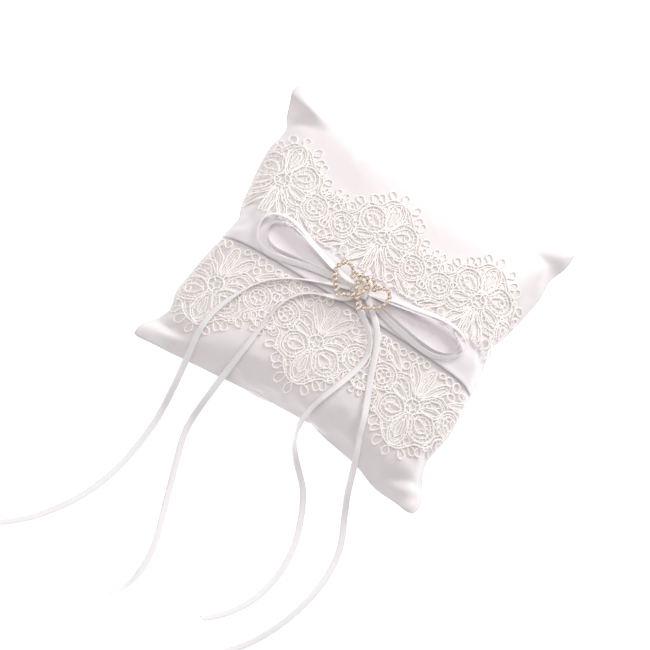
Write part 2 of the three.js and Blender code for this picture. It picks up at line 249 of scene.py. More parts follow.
def woven_material(name, light, dark, thread_scale, smooth, rough, bump, depth, sheen):
    material, tree, shader = new_material(name)
    place = tree.nodes.new("ShaderNodeTexCoord")
    weave = tree.nodes.new("ShaderNodeGroup")
    weave.node_tree = weave_group
    relief = tree.nodes.new("ShaderNodeBump")
    fill(weave, {
        "Thread Scale": thread_scale, "Light Tint": (*light, 1), "Dark Tint": (*dark, 1),
        "Smooth": smooth, "Rough": rough,
    })
    fill(relief, {"Strength": bump, "Distance": depth})
    wire(
        tree, (place, "Object", weave, "Vector"), (weave, "Color", shader, "Base Color"),
        (weave, "Roughness", shader, "Roughness"), (weave, "Height", relief, "Height"),
        (relief, "Normal", shader, "Normal"))
    fill(shader, {"Sheen Weight": sheen, "Sheen Roughness": 0.4, "Specular IOR Level": 0.5})
    return material


def painted_glow(material, tint, amount):
    """Painted light: the thread glows faintly by emission, standing in for light that passes through fine
    white thread.
    """
    shader = material.node_tree.nodes["Principled BSDF"]
    fill(shader, {"Emission Color": (*tint, 1), "Emission Strength": amount})


panel_satin = woven_material(
    "panel_satin", (0.862, 0.808, 0.812), (0.80, 0.738, 0.742), 900, 0.34, 0.46, 0.22, 0.00012, 0.25)
band_satin = woven_material(
    "band_satin", (0.87, 0.822, 0.845), (0.81, 0.76, 0.785), 1000, 0.30, 0.42, 0.2, 0.0001, 0.2)
ribbon_satin = woven_material(
    "ribbon_satin", (0.955, 0.92, 0.925), (0.89, 0.85, 0.855), 1400, 0.24, 0.34, 0.2, 0.00008, 0.15)
lace_thread = woven_material(
    "lace_thread", (0.93, 0.885, 0.86), (0.86, 0.805, 0.775), 1500, 0.55, 0.75, 0.3, 0.0001, 0.4)
# painted light: a faint glow on the lace thread stands in for light passing through it
painted_glow(lace_thread, (1.0, 0.93, 0.90), 0.13)
fibre_filling = woven_material(
    "fibre_filling", (0.88, 0.88, 0.87), (0.78, 0.78, 0.77), 300, 0.8, 0.95, 0.8, 0.0006, 0.5)


def metal_material():
    material, tree, shader = new_material("heart_alloy")
    place = tree.nodes.new("ShaderNodeTexCoord")
    tarnish = node(tree, "ShaderNodeTexNoise", scale=900.0, detail=4.0)
    shades = tree.nodes.new("ShaderNodeValToRGB")
    shades.color_ramp.elements[0].position = 0.35
    shades.color_ramp.elements[0].color = (0.50, 0.33, 0.22, 1)
    shades.color_ramp.elements[1].position = 0.62
    shades.color_ramp.elements[1].color = (0.88, 0.70, 0.54, 1)
    polish = node(tree, "ShaderNodeMapRange")
    relief = tree.nodes.new("ShaderNodeBump")
    fill(polish, {"To Min": 0.38, "To Max": 0.16})
    fill(relief, {"Strength": 0.3, "Distance": 0.00006})
    wire(
        tree, (place, "Object", tarnish, "Vector"), (tarnish, "Fac", shades, "Fac"),
        (shades, "Color", shader, "Base Color"), (tarnish, "Fac", polish, "Value"),
        (polish, "Result", shader, "Roughness"), (tarnish, "Fac", relief, "Height"),
        (relief, "Normal", shader, "Normal"))
    shader.inputs["Metallic"].default_value = 1.0
    return material


def crystal_material():
    material, tree, shader = new_material("crystal")
    place = tree.nodes.new("ShaderNodeTexCoord")
    cloud = node(tree, "ShaderNodeTexNoise", scale=300.0, detail=2.0)
    tint = tree.nodes.new("ShaderNodeValToRGB")
    tint.color_ramp.elements[0].color = (0.94, 0.88, 0.82, 1)
    tint.color_ramp.elements[1].color = (1.0, 0.97, 0.94, 1)
    clear = node(tree, "ShaderNodeMapRange")
    fill(clear, {"To Min": 0.0, "To Max": 0.08})
    wire(
        tree, (place, "Object", cloud, "Vector"), (cloud, "Fac", tint, "Fac"),
        (tint, "Color", shader, "Base Color"), (cloud, "Fac", clear, "Value"),
        (clear, "Result", shader, "Roughness"))
    fill(shader, {"Transmission Weight": 0.25, "IOR": 1.6})
    return material


heart_alloy = metal_material()
crystal = crystal_material()


# ---------------------------------------------------------------- ribbon tails

LAID = 1.4
RIBBON_WIDTH = 3.0 * MM
RIBBON_THICKNESS = 0.22 * MM
# points (x, y, z) in millimetres from the knot out; one with no height lies on the table
TAIL_ROUTES = {
    "ribbon_tail_1": [
        (-4.3, -4.2, 39.8), (-9, -5.8, 39.6), (-15, -8, 39.2), (-22, -11, 38.4), (-29, -14.5, 37.1),
        (-35, -18.5, 35.9), (-40.5, -24, 34.4), (-45, -31, 32.8), (-48.5, -38.5, 31.2), (-51, -46, 29.7),
        (-52, -53, 28.3), (-51.5, -60, 26.6), (-50.4, -66, 23.6), (-49.5, -71, 18.5), (-48.7, -75.5, 12),
        (-48, -80.5, 6), (-47.4, -86, 2.2), (-47, -93), (-47.2, -101), (-48, -110),
        (-49.2, -119), (-51.5, -128.5), (-54.5, -137), (-58.6, -146),
        (-63.8, -154.5), (-70, -163), (-77.2, -170.3), (-83.5, -175.5),
        (-88, -178.7),
    ],
    "ribbon_tail_2": [
        (-2.2, -6.5, 39.8), (-2.6, -8.3, 39.7), (-5.5, -10.6, 39.5), (-11, -12.6, 39.1),
        (-17.5, -15.2, 38.2),
        (-22.5, -19, 37.5), (-26, -24, 36.6), (-28, -30, 35.7), (-29, -37, 34.5), (-29.8, -45, 32.8),
        (-30.5, -53, 30.4), (-31.2, -60, 27.3), (-31.8, -64.5, 23.6), (-32.3, -68.5, 18),
        (-32.8, -72.5, 11.5),
        (-33.3, -77, 6), (-33.6, -82.5, 2.2), (-33.4, -89), (-32.2, -95.5), (-30.3, -102),
        (-27.8, -110), (-25, -119), (-22, -128.5), (-19, -138), (-17, -147),
        (-16.3, -156), (-17.5, -164.5), (-20, -170.5), (-23, -174.5),
    ],
    "ribbon_tail_3": [
        (1.5, -6.5, 39.8), (2, -8.4, 39.6), (5, -11.2, 39.4), (9.5, -14.2, 38.8), (13.8, -18, 38.2),
        (17, -23, 37.6), (18, -28.5, 36.8), (17.2, -34.5, 36), (15.3, -41.5, 34.6), (12.7, -49, 32.7),
        (10.2, -56, 29.9), (8.9, -61.5, 26.4), (8.8, -65.5, 21.5), (9.9, -69, 15.5), (12.2, -72, 9.5),
        (15.6, -75, 4.8), (20, -78.6, 1.9), (25.3, -84), (29.5, -91), (32.8, -98.5),
        (35.3, -106), (36.7, -114), (37.2, -121.5), (36.6, -129), (35, -136.2),
        (32.4, -143.2), (29, -149.4), (25.5, -154.2), (21.8, -158.3),
        (18, -161.5),
    ],
    "ribbon_tail_4": [
        (4.3, -4.2, 39.8), (6, -5.2, 39.7), (9.5, -8.5, 39.4), (14, -12.4, 39), (18, -17.5, 38),
        (20.8, -24, 37.2), (23.3, -31, 36.1), (25.8, -37, 34.8), (28.5, -43, 33.4), (31, -49, 31.6),
        (33.5, -55.5, 29.4), (36.3, -61.5, 26.5), (38.6, -66.3, 22.8), (40.6, -70.3, 17.5),
        (42.5, -74, 11.5),
        (44.5, -77.8, 6.2), (46.8, -82, 2.6), (49.2, -87), (51.8, -92.5), (54.2, -99),
        (55.6, -106), (56, -114), (55.3, -122.5), (53.7, -131), (51.5, -139),
        (48.4, -147.3), (44.4, -155.5), (39.5, -163.2), (33.6, -170.8),
        (28.5, -176.3),
    ],
}
# the ribbon's turn about its own line, in degrees from lying flat, at shares of its length
TAIL_TURNS = {
    "ribbon_tail_1": [(0, 30), (0.12, 62), (0.2, 70), (0.3, 30), (0.42, 12), (0.6, -12), (0.8, 10), (1, 22)],
    "ribbon_tail_2": [
        (0, 20), (0.12, 58), (0.2, 66), (0.3, 25), (0.45, -14), (0.65, 12), (0.85, -10), (1, 55)],
    "ribbon_tail_3": [(0, 15), (0.1, 52), (0.2, 18), (0.34, 30), (0.42, 75), (0.5, 30), (0.7, -8), (1, 18)],
    "ribbon_tail_4": [(0, 10), (0.15, 24), (0.3, -16), (0.45, 20), (0.6, 12), (0.8, -14), (1, 10)],
}
RIBBON_STEP = 1.1 * MM
RIBBON_CAMBER = 0.16 * MM
SECTION_CELLS = 6
SELVEDGE_THINNING = 0.55
END_REACH = 12 * MM


def new_curve(name, **settings):
    curve = bpy.data.curves.new(name, "CURVE")
    for key, value in {"dimensions": "3D", **settings}.items():
        setattr(curve, key, value)
    return curve


def add_spline(curve, places, closed=False):
    """Adds a line through the places, and gives its points."""
    spline = curve.splines.new("POLY")
    spline.points.add(len(places) - 1)
    for point, place in zip(spline.points, places):
        point.co = (*place, 1)
    spline.use_cyclic_u = closed
    return spline.points


def ribbon_section():
    """The ribbon's cross-section: thin, a little arched, with rounded selvedges."""
    curve = new_curve("ribbon_section", dimensions="2D")
    top = []
    for i in range(SECTION_CELLS + 1):
        u = 2 * i / SECTION_CELLS - 1
        arch = RIBBON_CAMBER * (1 - u * u)
        fat = RIBBON_THICKNESS * 0.5 * (1 - SELVEDGE_THINNING * u ** 6)
        top.append((u * RIBBON_WIDTH / 2, arch, fat))
    outline = [(x, a + f) for x, a, f in top] + [(x, a - f) for x, a, f in reversed(top)]
    add_spline(curve, [(x, y, 0) for x, y in outline], True)
    return add_object("ribbon_section", curve)


def remove_section(section):
    old = section.data
    bpy.data.objects.remove(section)
    bpy.data.curves.remove(old)


def ribbon(name, line):
    """A ribbon along points (x, y, z, turn in degrees from flat), as a mesh."""
    section = ribbon_section()
    curve = new_curve(
        name, twist_mode="Z_UP", bevel_mode="OBJECT", bevel_object=section, use_fill_caps=True)
    for point, place in zip(add_spline(curve, [p[:3] for p in line]), line):
        point.tilt = math.radians(place[3])
    made = settle(name, add_object(name, curve))
    remove_section(section)
    bm = bmesh.new()
    bm.from_mesh(made.data)
    bmesh.ops.remove_doubles(bm, verts=bm.verts, dist=0.00001)
    bmesh.ops.recalc_face_normals(bm, faces=bm.faces)
    bm.to_mesh(made.data)
    bm.free()
    return made


def slant_end(piece, point, direction, lean):
    """Cuts a ribbon's end on the slant, as scissors leave it."""
    bm = bmesh.new()
    bm.from_mesh(piece.data)
    normal = Matrix.Rotation(lean, 3, "Z") @ direction.normalized()
    near = [f for f in bm.faces if (f.calc_center_median() - point).length < END_REACH]
    edges = {e for f in near for e in f.edges}
    verts = {v for f in near for v in f.verts}
    cut = bmesh.ops.bisect_plane(
        bm, geom=[*verts, *edges, *near], plane_co=point, plane_no=normal, clear_outer=True)
    rim = [g for g in cut["geom_cut"] if isinstance(g, bmesh.types.BMEdge)]
    bmesh.ops.holes_fill(bm, edges=rim)
    bmesh.ops.recalc_face_normals(bm, faces=bm.faces)
    bm.to_mesh(piece.data)
    bm.free()


# ---------------------------------------------------------------- stuffed pillow

HALF_CUT_X = 76 * MM
HALF_CUT_Y = 73 * MM
TIP_X = 74 * MM
TIP_Y = 71 * MM
CROWN = 17.7 * MM
BELLY = 21.5 * MM
SIM_SCALE = 10
SIM_CELLS = 60
SIM_FRAMES = 30
SIM_PRESSURE = 1.2
SIM_DOME = 0.03
WELD = 0.0005
# how the cloth stretches, folds and settles
CLOTH_SETTINGS = {
    "quality": 8, "mass": 0.15,
    "tension_stiffness": 40, "compression_stiffness": 10, "shear_stiffness": 8, "bending_stiffness": 0.5,
    "tension_damping": 10, "compression_damping": 10, "shear_damping": 8, "bending_damping": 1,
    "air_damping": 4, "use_pressure": True, "uniform_pressure_force": SIM_PRESSURE,
}
# the underside flattens onto the table softly, down to the lowest it may go
REST_SOFTNESS = 2.5 * MM
REST_BLEND = 12 * MM
REST_DEPTH = 40 * MM
LOWEST = 0.2 * MM
UNDERSIDE_LIFT = 0.4 * MM


def flat_bag():
    """Two squares of cloth joined all round, a little domed so that pressure opens them."""
    bm = bmesh.new()
    bmesh.ops.create_grid(bm, x_segments=SIM_CELLS, y_segments=SIM_CELLS, size=1.0)
    under = bmesh.ops.duplicate(bm, geom=bm.verts[:] + bm.edges[:] + bm.faces[:])["geom"]
    under_faces = [g for g in under if isinstance(g, bmesh.types.BMFace)]
    under_verts = {g for g in under if isinstance(g, bmesh.types.BMVert)}
    bmesh.ops.reverse_faces(bm, faces=under_faces)
    for face in under_faces:
        face.material_index = 1
    for vert in bm.verts:
        s, t = vert.co.x, vert.co.y
        dome = math.sqrt(max(0.0, (1 - s * s) * (1 - t * t)))
        side = -1 if vert in under_verts else 1
        vert.co = (s * HALF_CUT_X * SIM_SCALE, t * HALF_CUT_Y * SIM_SCALE, side * SIM_DOME * dome)
    bmesh.ops.remove_doubles(bm, verts=bm.verts, dist=WELD)
    return mesh_from("pillow_bag", bm)


def inflate(bag):
    """Blows the bag up with cloth pressure, and leaves it as a plain mesh."""
    modifier = bag.modifiers.new("Cloth", "CLOTH")
    for setting, value in CLOTH_SETTINGS.items():
        setattr(modifier.settings, setting, value)
    modifier.settings.effector_weights.gravity = 0
    modifier.point_cache.frame_start = 1
    modifier.point_cache.frame_end = SIM_FRAMES
    for number in range(1, SIM_FRAMES + 1):
        bpy.context.scene.frame_set(number)
    stuffed = settle("pillow_bag", bag)
    bpy.context.scene.frame_set(1)
    return stuffed


def softplus(value):
    return math.log1p(math.exp(value))


def fit_to_size(mesh):
    """Brings the stuffed bag to the pillow's size, and rests its underside on the table."""
    high_x = max(v.co.x for v in mesh.vertices)
    high_y = max(v.co.y for v in mesh.vertices)
    high_z = max(v.co.z for v in mesh.vertices)
    low_z = -min(v.co.z for v in mesh.vertices)
    for vert in mesh.vertices:
        x, y, z = vert.co
        x *= TIP_X / high_x
        y *= TIP_Y / high_y
        if z >= 0:
            z = SEAM_HEIGHT + z * CROWN / high_z
        else:
            deep = -z * BELLY / low_z
            spare = SEAM_HEIGHT - deep
            rounded = softplus(min(40, spare / REST_SOFTNESS))
            rounded -= softplus((BELLY - REST_DEPTH) / REST_SOFTNESS)
            z = max(LOWEST, REST_SOFTNESS * rounded if spare < REST_BLEND else spare)
        vert.co = (x, y, z)


EAR_REACH = 20 * MM
BLUNT_REACH = 9 * MM
# how far each corner's point is drawn back, by (side x, side y): the corners weren't turned out alike
BLUNT_PULLS = {(-1, 1): 3.4 * MM, (1, 1): 1.2 * MM, (-1, -1): 0.9 * MM, (1, -1): 2.4 * MM}
BLUNT_SPREAD = 250
# how far each corner's ear is pulled from where the filling leaves it: (side x, side y, move)
EARS = (
    (1, 1, (0.4 * MM, 3.9 * MM, 3.0 * MM)),
    (-1, 1, (-2.0 * MM, 2.4 * MM, 5.0 * MM)),
    (-1, -1, (-2.6 * MM, -1.0 * MM, 1.0 * MM)),
    (1, -1, (1.4 * MM, -2.4 * MM, -1.5 * MM)),
)
# where the seams are drawn in or droop near the corners: (x, y, reach, move), all in millimetres
TUGS = (
    (-71, 51, 15, (3.6, 0, 0)),
    (-71, -54, 13, (3.6, 0.6, 0)),
    (71, -49, 19, (-4.6, 0, 0)),
    (54, -69, 17, (0, -2.0, -3.4)),
    (71, 57, 10, (-2.0, 0.4, 0)),
    (-76, 66, 11, (0, -0.6, 4.0)),
    (-70, -71, 13, (0, -0.8, 4.2)),
    (71, -74, 13, (0, -1.2, 4.4)),
)


def blunt_corners(mesh):
    """Turned-out corners never come to a point: the last few millimetres are rounded over."""
    reach = BLUNT_REACH * SIM_SCALE
    for (side_x, side_y), pull in BLUNT_PULLS.items():
        tip = max(mesh.vertices, key=lambda v: side_x * v.co.x + side_y * v.co.y).co.copy()
        along = Vector((-side_x, -side_y, 0)).normalized()
        for vert in mesh.vertices:
            off = vert.co - tip
            off.z = 0
            if off.length > reach:
                continue
            deep = max(0.0, off.dot(along))
            keep = max(0.0, 1 - deep / (reach * 0.8))
            vert.co += along * pull * SIM_SCALE * keep ** 1.6
            side = off - along * off.dot(along)
            vert.co += side * pull * BLUNT_SPREAD * keep


# pinched folds near the corners: (from, to, half-width, depth), in millimetres; a negative depth stands up
DENTS = (
    ((-70, 57.5), (-55, 58.0), 2.6, 3.0),
    ((-73, 64.5), (-59, 62.8), 2.0, -2.6),
    ((71, 62.5), (57, 63.0), 2.0, 2.0),
    ((69.5, 62), (69, 54), 1.6, 1.4),
    ((69, -59.5), (54, -65), 2.2, 2.6),
    ((71.5, -63), (58, -68.5), 1.5, -1.6),
    ((71, -67), (61, -71), 1.3, 1.2),
    ((66, -56), (50, -48), 2.6, 1.2),
    ((-69, -60), (-56, -59.5), 1.8, 2.4),
    ((-72, -67.0), (-59, -65.6), 1.9, -2.2),
    ((-69, -67.5), (-57, -66.5), 1.5, 1.4),
)


def beside_fold(start, end):
    """A function from a point to its share of the way along a fold, and how far left of it it lies."""
    a = Vector(start) * MM
    way = Vector(end) * MM - a
    length = way.length
    way.normalize()
    left = Vector((-way.y, way.x))
    return lambda point: ((point.xy - a).dot(way) / length, (point.xy - a).dot(left))


def press_dents(mesh):
    """Presses the folds into the upper side of the bag."""
    for start, end, half, depth in DENTS:
        measure = beside_fold(start, end)
        for vert in mesh.vertices:
            if vert.co.z < SEAM_HEIGHT + 0.1 * MM:
                continue
            along, across = measure(vert.co)
            if not -0.25 < along < 1.2:
                continue
            fade = math.sin(math.pi * min(1.0, max(0.0, (along + 0.25) / 1.45))) ** 0.8
            press = depth * MM * fade * math.exp(-((across / (half * MM)) ** 2))
            room = vert.co.z - SEAM_HEIGHT
            vert.co.z -= min(press, room * 0.8)


def pull_near(mesh, place, reach, move):
    """Moves what lies within reach of a place, most at the place itself."""
    for vert in mesh.vertices:
        near = max(0.0, 1 - (vert.co - place).length / reach)
        vert.co += move * near * near * (3 - 2 * near)


def pull_ears_and_seams(mesh):
    for side_x, side_y, move in EARS:
        tip = Vector((side_x * TIP_X, side_y * TIP_Y, SEAM_HEIGHT))
        pull_near(mesh, tip, EAR_REACH, Vector(move))
    for x, y, reach, move in TUGS:
        pull_near(mesh, Vector((x * MM, y * MM, SEAM_HEIGHT)), reach * MM, Vector(move) * MM)


# folds right through the bag, in millimetres:
# (from, to, half-width on the left of that way, half-width on its right, depth)
FOLDS = (
    ((-77, 56.8), (-53, 59.0), 3.0, 4.2, 6.6),
    ((76, 61.5), (58, 62.4), 2.8, 2.6, 2.4),
    ((-78, -59.5), (-58, -59.0), 3.0, 3.0, 2.6),
)


def press_folds(mesh):
    """Bends both covers down along a fold that starts at the seam and dies away into the pillow."""
    for start, end, left_half, right_half, depth in FOLDS:
        measure = beside_fold(start, end)
        for vert in mesh.vertices:
            along, across = measure(vert.co)
            left = max(0.0, min(1.0, (1.1 - along) / 0.9))
            half = left_half if across > 0 else right_half
            fade = left * left * (3 - 2 * left)
            vert.co.z -= depth * MM * fade * math.exp(-((across / (half * MM)) ** 2))


def settle_underside(mesh):
    for vert in mesh.vertices:
        vert.co.z = max(vert.co.z, UNDERSIDE_LIFT)


def make_bag():
    bag = add_object("pillow_bag", flat_bag())
    bag = inflate(bag)
    blunt_corners(bag.data)
    fit_to_size(bag.data)
    pull_ears_and_seams(bag.data)
    press_folds(bag.data)
    press_dents(bag.data)
    settle_underside(bag.data)
    return bag


def cover_from(bag, side, name):
    """One of the two panels of the bag, finer; finish_cover gives it its own thickness."""
    bm = bmesh.new()
    bm.from_mesh(bag.data)
    bmesh.ops.delete(bm, geom=[f for f in bm.faces if f.material_index != side], context="FACES")
    for face in bm.faces:
        face.material_index = 0
    panel = add_object(name, mesh_from(name, bm))
    finer = panel.modifiers.new("Subdivision", "SUBSURF")
    finer.levels = 1
    finer.render_levels = 1
    return settle(name, panel)


bag = make_bag()
front_cover = cover_from(bag, 0, "front_cover")
back_cover = cover_from(bag, 1, "back_cover")


# ---------------------------------------------------------------- the cover's surface, for what lies on it

def surface_tree(piece):
    bm = bmesh.new()
    bm.from_mesh(piece.data)
    tree = BVHTree.FromBMesh(bm)
    bm.free()
    return tree


cover_tree = surface_tree(front_cover)
SKY = 0.2


def above(x, y, lift):
    """The point that far above the front cover, or None outside its seam."""
    place, normal, _, _ = cover_tree.ray_cast(Vector((x, y, SKY)), Vector((0, 0, -1)))
    if place is None:
        return None
    if normal.z < 0:
        normal = -normal
    return place + normal * lift


def seam_x(y, side):
    """Where the side seam is at that y."""
    reach = 0.05
    while above(side * (reach + 0.0005), y, 0) is not None:
        reach += 0.0005
    return side * reach


# ---------------------------------------------------------------- covers and filling

COVER_THICKNESS = 0.3 * MM
WAD_SHARE = 0.93
WAD_GAP = 1.2 * MM


def finish_cover(piece, node_name):
    wall = piece.modifiers.new("Solidify", "SOLIDIFY")
    wall.thickness = COVER_THICKNESS
    wall.offset = -1
    finish_piece(piece, "panel_satin", panel_satin, node_name)


def make_filling():
    """One wad of fibre that fills the bag, a little inside both covers all over."""
    under_tree = surface_tree(back_cover)
    bm = bmesh.new()
    bm.from_mesh(bag.data)
    for vert in bm.verts:
        x = vert.co.x * WAD_SHARE
        y = vert.co.y * WAD_SHARE
        top = above(x, y, 0)
        under = under_tree.ray_cast(Vector((x, y, -SKY)), Vector((0, 0, 1)))[0]
        gap = min(WAD_GAP, (top.z - under.z) * 0.3)
        vert.co = (x, y, min(max(vert.co.z, under.z + gap), top.z - gap))
    for face in bm.faces:
        face.material_index = 0
    wad = add_object("fibre_wad", mesh_from("fibre_wad", bm))
    finish_piece(wad, "fibre_filling", fibre_filling, "filling")


make_filling()
bpy.data.objects.remove(bag)
finish_cover(front_cover, "front_panel")
finish_cover(back_cover, "back_panel")


# ---------------------------------------------------------------- satin band

BAND_CENTRE_Y = -1 * MM
BAND_WIDTH = 20 * MM
BAND_LIFT = 0.95 * MM
# the far edge has no lace under it, so it comes down to the cover
FAR_EDGE_DROP = 0.8 * MM
BAND_CELLS = 150
BAND_ROWS = 16
BAND_THICKNESS = 0.25 * MM
SEAM_TUCK = 0.4 * MM
BAND_FOLD = 0.22 * MM
BAND_PUCKER = 0.35 * MM
BAND_SELVEDGE = 0.12 * MM
BAND_CLEARANCE = 0.15 * MM
BAND_HALF_SPAN = 63.5 * MM


def make_band():
    """The band is sewn into both side seams and lies across the middle, with a few soft lengthwise folds."""
    bm = bmesh.new()
    bmesh.ops.create_grid(bm, x_segments=BAND_CELLS, y_segments=BAND_ROWS, size=1.0)
    ends = {}
    for vert in bm.verts:
        u, v = vert.co.x, vert.co.y
        y = BAND_CENTRE_Y + v * BAND_WIDTH / 2
        key = (round(v, 4), u > 0)
        if key not in ends:
            ends[key] = abs(seam_x(y, 1 if u > 0 else -1)) - SEAM_TUCK
        x = u * ends[key]
        fade = min(1.0, (1 - abs(u)) * 14)
        fold = BAND_FOLD * math.sin(v * 5.2 + u * 2.1) * (0.35 + 0.65 * abs(u))
        pucker = BAND_PUCKER * math.sin(v * 9 + 0.7) * max(0.0, 1 - (1 - abs(u)) * 9)
        selvedge = BAND_SELVEDGE * max(0.0, abs(v) - 0.9) * 10
        lift = BAND_LIFT - FAR_EDGE_DROP * min(1.0, max(0.0, (v - 0.2) / 0.7))
        vert.co = above(x, y, (lift + fold + pucker) * fade + BAND_CLEARANCE + selvedge)
    band = add_object("band_strip", mesh_from("band_strip", bm))
    row = [above(u * BAND_HALF_SPAN / 60, BAND_CENTRE_Y, BAND_LIFT) for u in range(-60, 61)]
    wall = band.modifiers.new("Solidify", "SOLIDIFY")
    wall.thickness = BAND_THICKNESS
    wall.offset = 1
    finish_piece(band, "band_satin", band_satin, "satin_band")


make_band()


# ---------------------------------------------------------------- lace

MOTIF_CENTRES = (-56.5, -4.5, 47.5)
NEAR_HUB_Y = -34.0
FAR_HUB_Y = 25.0
CORD = 0.36
THIN = 0.27
BAR = 0.18
STITCH_STEP = 0.62
PICOTS = 15
EDGE_GAP = 1.1
TIE_BARS = 400
TIE_REACH = (1.3, 3.2)


CIRCLE_STEP = 0.75


def polar(cu, cv, r, a):
    return (cu + r * math.cos(a), cv + r * math.sin(a))


def circle(cu, cv, r):
    count = max(9, round(2 * math.pi * r / CIRCLE_STEP))
    return [polar(cu, cv, r, 2 * math.pi * i / count) for i in range(count)]


def leaf(cu, cv, length, half, angle, count=26):
    """A drop-shaped loop with its point at (cu, cv), lying along the angle in degrees."""
    a = math.radians(angle)
    out = []
    for i in range(count):
        t = 2 * math.pi * i / count
        along = length * (1 - math.cos(t)) / 2
        across = half * math.sin(t) * abs(math.sin(t / 2)) ** 0.7 * 1.15
        out.append((
            cu + along * math.cos(a) - across * math.sin(a),
            cv + along * math.sin(a) + across * math.cos(a),
        ))
    return out


def swing(points, step=0.8):
    return [(p[0], p[1]) for p in smooth_route([(a, b, 0.0) for a, b in points], step)]


def beside(line, gap):
    """A line that runs a fixed gap to the left of another."""
    out = []
    for i, (u, v) in enumerate(line):
        a = line[max(0, i - 1)]
        b = line[min(len(line) - 1, i + 1)]
        du, dv = b[0] - a[0], b[1] - a[1]
        size = math.hypot(du, dv) or 1.0
        out.append((u - dv / size * gap, v + du / size * gap))
    return out


class LaceDrawing:
    """Threads of one lace motif, in millimetres from its hub: (points, closed, radius)."""

    def __init__(self):
        self.threads = []

    def loop(self, points, radius=CORD):
        self.threads.append((points, True, radius))

    def line(self, points, radius=CORD):
        self.threads.append((points, False, radius))

    def rungs(self, first, second, every=2, radius=BAR):
        count = min(len(first), len(second))
        for i in range(0, count, every):
            self.line([first[i], second[i]], radius)

    def spokes(self, cu, cv, inner, outer, count, radius=BAR, start=0.0):
        for i in range(count):
            a = 2 * math.pi * i / count + start
            self.line([polar(cu, cv, inner, a), polar(cu, cv, outer, a)], radius)

    def ladder_ring(self, cu, cv, outer, inner, rungs):
        self.loop(circle(cu, cv, outer))
        self.loop(circle(cu, cv, inner), THIN)
        self.spokes(cu, cv, inner, outer, rungs)

    def spider(self, cu, cv, side):
        """A round wheel: a ladder rim, a ring, and spokes that meet in a small eye."""
        self.ladder_ring(cu, cv, 6.3, 4.9, 22)
        self.loop(circle(cu, cv, 3.5), CORD)
        self.loop(circle(cu, cv, 1.5), THIN)
        self.spokes(cu, cv, 1.5, 3.5, 6, CORD, 0.3 * side)
        self.spokes(cu, cv, 3.6, 4.9, 12)

    def double_leaf(self, cu, cv, length, half, angle, gap=1.25):
        outer = leaf(cu, cv, length, half, angle)
        start = polar(cu, cv, gap, math.radians(angle))
        inner = leaf(*start, length - 2.1 * gap, half - gap * 0.85, angle)
        self.loop(outer)
        self.loop(inner, THIN)
        self.rungs(outer, inner, 1)
        self.line([inner[0], inner[len(inner) // 2]], THIN)

    def laddered(self, outer, inner):
        """A loop inside another, with rungs between them."""
        self.loop(outer)
        self.loop(inner, THIN)
        self.rungs(outer, inner)

    def comma(self, points, gap):
        """Three cords side by side with rungs, sweeping from a wheel to the hub."""
        middle = swing(points)
        left = beside(middle, gap)
        right = beside(middle, -gap)
        self.line(left)
        self.line(middle, THIN)
        self.line(right)
        self.rungs(left, right)


def half_motif(drawing, rings, side):
    """What lies to one side of a motif's middle line. The side is 1 or -1."""
    def flip(points):
        return [(side * u, v) for u, v in points]

    drawing.ladder_ring(side * 8.2, 5.6, 6.3, 4.7, 22)
    drawing.loop(flip(leaf(3.9, 3.9, 7.4, 2.3, 24)))
    drawing.loop(flip(circle(9.6, 6.4, 1.2)), THIN)
    drawing.loop(flip(leaf(2.0, 4.3, 9.6, 1.5, 72)), THIN)
    drawing.loop(flip(leaf(3.4, 12.0, 5.4, 1.5, 38)), THIN)
    for i in range(10):
        a = 2 * math.pi * i / 10 + 0.3
        drawing.line(flip([
            (8.2 + 4.6 * math.cos(a), 5.6 + 4.6 * math.sin(a)),
            (8.2 + 2.9 * math.cos(a), 5.6 + 2.9 * math.sin(a)),
        ]), BAR)
    drawing.laddered(flip(leaf(3.2, -1.0, 10.2, 2.3, -17)), flip(leaf(4.3, -1.3, 7.6, 1.2, -17)))
    drawing.loop(flip(circle(11.2, -5.9, 1.3)), THIN)
    drawing.loop(flip(circle(6.4, -5.0, 1.2)), THIN)
    drawing.spider(side * 18.6, -4.2, side)
    drawing.comma(flip([(13.2, -8.4), (9.6, -9.6), (5.8, -8.4), (3.4, -5.6), (2.4, -3.0)]), 1.25)
    drawing.laddered(flip(leaf(1.2, -4.6, 15.5, 2.3, -58)), flip(leaf(1.9, -5.8, 12.6, 1.2, -58)))
    drawing.laddered(flip(leaf(12.8, -10.6, 13.6, 2.2, -34)), flip(leaf(13.9, -11.3, 10.8, 1.1, -34)))
    for u, v, r in (
        (13.6, -0.2, 1.3), (14.2, 11.0, 1.2), (21.4, 4.3, 1.9), (24.7, 1.4, 1.7), (25.2, 5.4, 1.5),
        (25.4, -8.6, 1.8), (12.2, -14.4, 1.8), (8.2, -19.6, 1.7), (12.0, -19.4, 1.9), (16.4, -18.6, 1.7),
        (20.4, -13.0, 1.6), (24.6, -13.2, 1.7), (4.4, -19.8, 1.5), (21.0, -18.9, 1.6), (25.0, -18.4, 1.7),
    ):
        rings.loop(flip(circle(u, v, r)), CORD)


def scallop(drawing):
    """The outer edge: a cord round the lobes, with long picots standing out from it."""
    right = [(0, 19.9), (4.4, 18.8), (7.4, 15.4), (9.8, 13.0), (13.6, 11.6), (15.9, 8.2), (16.6, 4.6),
             (19.2, 2.9), (22.6, 6.2), (26.0, 7.4)]
    left = [(-u, v) for u, v in reversed(right[1:])]
    edge = swing(left + right)
    drawing.line(edge)
    inside = beside(edge, -EDGE_GAP)
    drawing.line(inside, THIN)
    drawing.rungs(edge, inside)
    return edge


